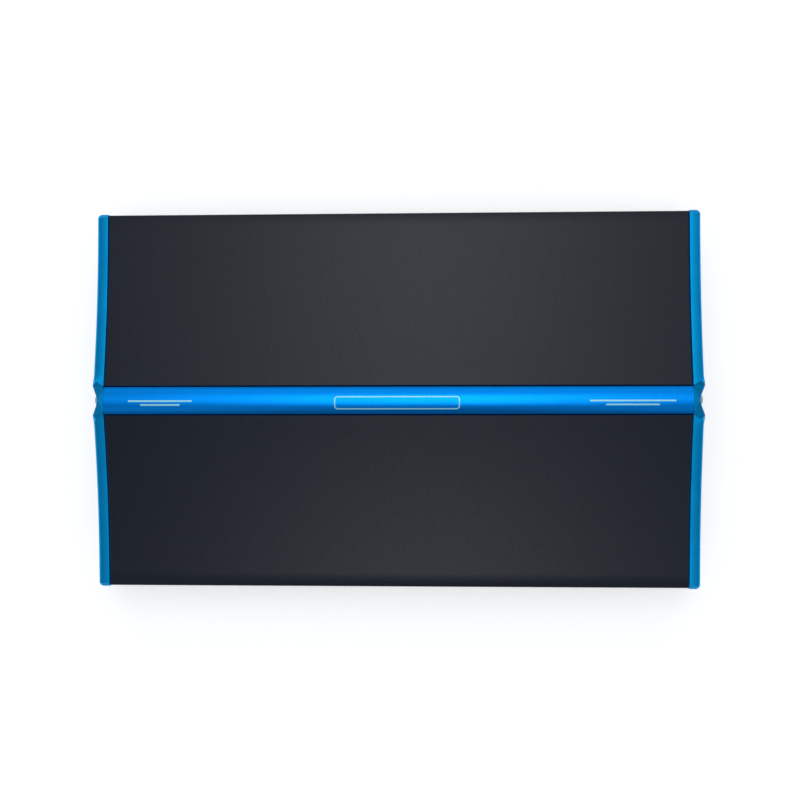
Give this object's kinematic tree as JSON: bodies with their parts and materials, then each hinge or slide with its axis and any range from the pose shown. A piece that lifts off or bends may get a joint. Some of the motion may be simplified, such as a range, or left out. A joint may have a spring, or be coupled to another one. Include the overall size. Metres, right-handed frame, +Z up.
{
  "type": "car amplifier",
  "caption": "Low, wide car audio amplifier: a dark hollow-winged heatsink with a blue arched trim down its middle, faceted end caps, and wiring recesses at both ends.",
  "frame": {"origin": "centre of the footprint, on the surface that the amplifier rests on", "axes": "+X along the ridge trim towards the signal end, +Y across, +Z up"},
  "size_m": [0.4092, 0.254, 0.058],
  "materials": {
    "dark_coat": "fine-textured dark powder coat over extruded aluminium",
    "blue_anodise": "satin blue anodised aluminium",
    "black_steel": "black painted sheet steel",
    "zinc": "zinc plated steel",
    "gold_plate": "gold plated brass",
    "green_laminate": "green solder mask on glass laminate",
    "copper": "enamelled copper winding",
    "sleeve": "dark shrink sleeve",
    "fuse_plastic": "tinted clear plastic",
    "blue_lens": "tinted clear plastic",
    "red_lens": "tinted clear plastic",
    "black_plastic": "moulded black plastic"
  },
  "bodies": {
    "chassis": {"heatsink": "dark_coat", "ridge_trim": "blue_anodise", "base_plate": "black_steel", "base_screw_1": "zinc", "base_screw_2": "zinc", "base_screw_3": "zinc", "base_screw_4": "zinc", "base_screw_5": "zinc", "base_screw_6": "zinc", "end_cap_right": "blue_anodise", "right_cap_screw_1": "zinc", "right_cap_screw_2": "zinc", "end_cap_left": "blue_anodise", "left_cap_screw_1": "zinc", "left_cap_screw_2": "zinc", "main_board": "green_laminate", "signal_board": "green_laminate", "power_transformer_1": "copper", "power_transformer_2": "copper", "input_choke": "copper", "rail_capacitor_1": "sleeve", "input_capacitor": "sleeve", "rail_capacitor_2": "sleeve", "output_transistors": "black_steel", "supply_transistors": "black_steel", "power_panel": "black_steel", "power_terminal_block": "black_plastic", "power_clamp_screw_1": "gold_plate", "power_clamp_screw_2": "gold_plate", "power_clamp_screw_3": "gold_plate", "speaker_terminal_block": "black_plastic", "fuse_holder": "black_plastic", "signal_panel": "black_steel", "rca_block": "black_plastic", "rca_socket_1": "gold_plate", "rca_socket_2": "gold_plate", "rca_socket_3": "gold_plate", "rca_socket_4": "gold_plate", "gain_front_pot": "zinc", "highpass_pot": "zinc", "gain_rear_pot": "zinc", "lowpass_pot": "zinc", "bass_pot": "zinc", "filter_front_switch": "zinc", "filter_rear_switch": "zinc", "input_mode_switch": "zinc", "bass_remote_jack": "black_plastic", "power_lamp": "blue_lens", "protect_lamp": "red_lens"},
    "gain_front_knob": {"gain_front_knob": "black_plastic"},
    "highpass_knob": {"highpass_knob": "black_plastic"},
    "gain_rear_knob": {"gain_rear_knob": "black_plastic"},
    "lowpass_knob": {"lowpass_knob": "black_plastic"},
    "bass_knob": {"bass_knob": "black_plastic"},
    "filter_front_slider": {"filter_front_slider": "black_plastic"},
    "filter_rear_slider": {"filter_rear_slider": "black_plastic"},
    "input_mode_slider": {"input_mode_slider": "black_plastic"},
    "fuse_1": {"fuse_1": "fuse_plastic"},
    "fuse_2": {"fuse_2": "fuse_plastic"}
  },
  "joints": [
    {"name": "gain_front_turn", "type": "hinge", "parent": "chassis", "child": "gain_front_knob", "pos_m": [0.17635, -0.06078, 0.021], "axis": [1, 0, 0], "range_deg": [-140, 140]},
    {"name": "highpass_turn", "type": "hinge", "parent": "chassis", "child": "highpass_knob", "pos_m": [0.17635, -0.02687, 0.021], "axis": [1, 0, 0], "range_deg": [-140, 140]},
    {"name": "gain_rear_turn", "type": "hinge", "parent": "chassis", "child": "gain_rear_knob", "pos_m": [0.17635, -0.01211, 0.021], "axis": [1, 0, 0], "range_deg": [-140, 140]},
    {"name": "lowpass_turn", "type": "hinge", "parent": "chassis", "child": "lowpass_knob", "pos_m": [0.17635, 0.02181, 0.021], "axis": [1, 0, 0], "range_deg": [-140, 140]},
    {"name": "bass_turn", "type": "hinge", "parent": "chassis", "child": "bass_knob", "pos_m": [0.17635, 0.03657, 0.021], "axis": [1, 0, 0], "range_deg": [-140, 140]},
    {"name": "filter_front_slide", "type": "slide", "parent": "chassis", "child": "filter_front_slider", "axis": [0, 1, 0], "range_m": [-0.002, 0.002]},
    {"name": "filter_rear_slide", "type": "slide", "parent": "chassis", "child": "filter_rear_slider", "axis": [0, 1, 0], "range_m": [-0.002, 0.002]},
    {"name": "input_mode_slide", "type": "slide", "parent": "chassis", "child": "input_mode_slider", "axis": [0, 1, 0], "range_m": [-0.002, 0.002]},
    {"name": "fuse_1_pull", "type": "slide", "parent": "chassis", "child": "fuse_1", "axis": [-1, 0, 0], "range_m": [0, 0.03]},
    {"name": "fuse_2_pull", "type": "slide", "parent": "chassis", "child": "fuse_2", "axis": [-1, 0, 0], "range_m": [0, 0.03]}
  ]
}
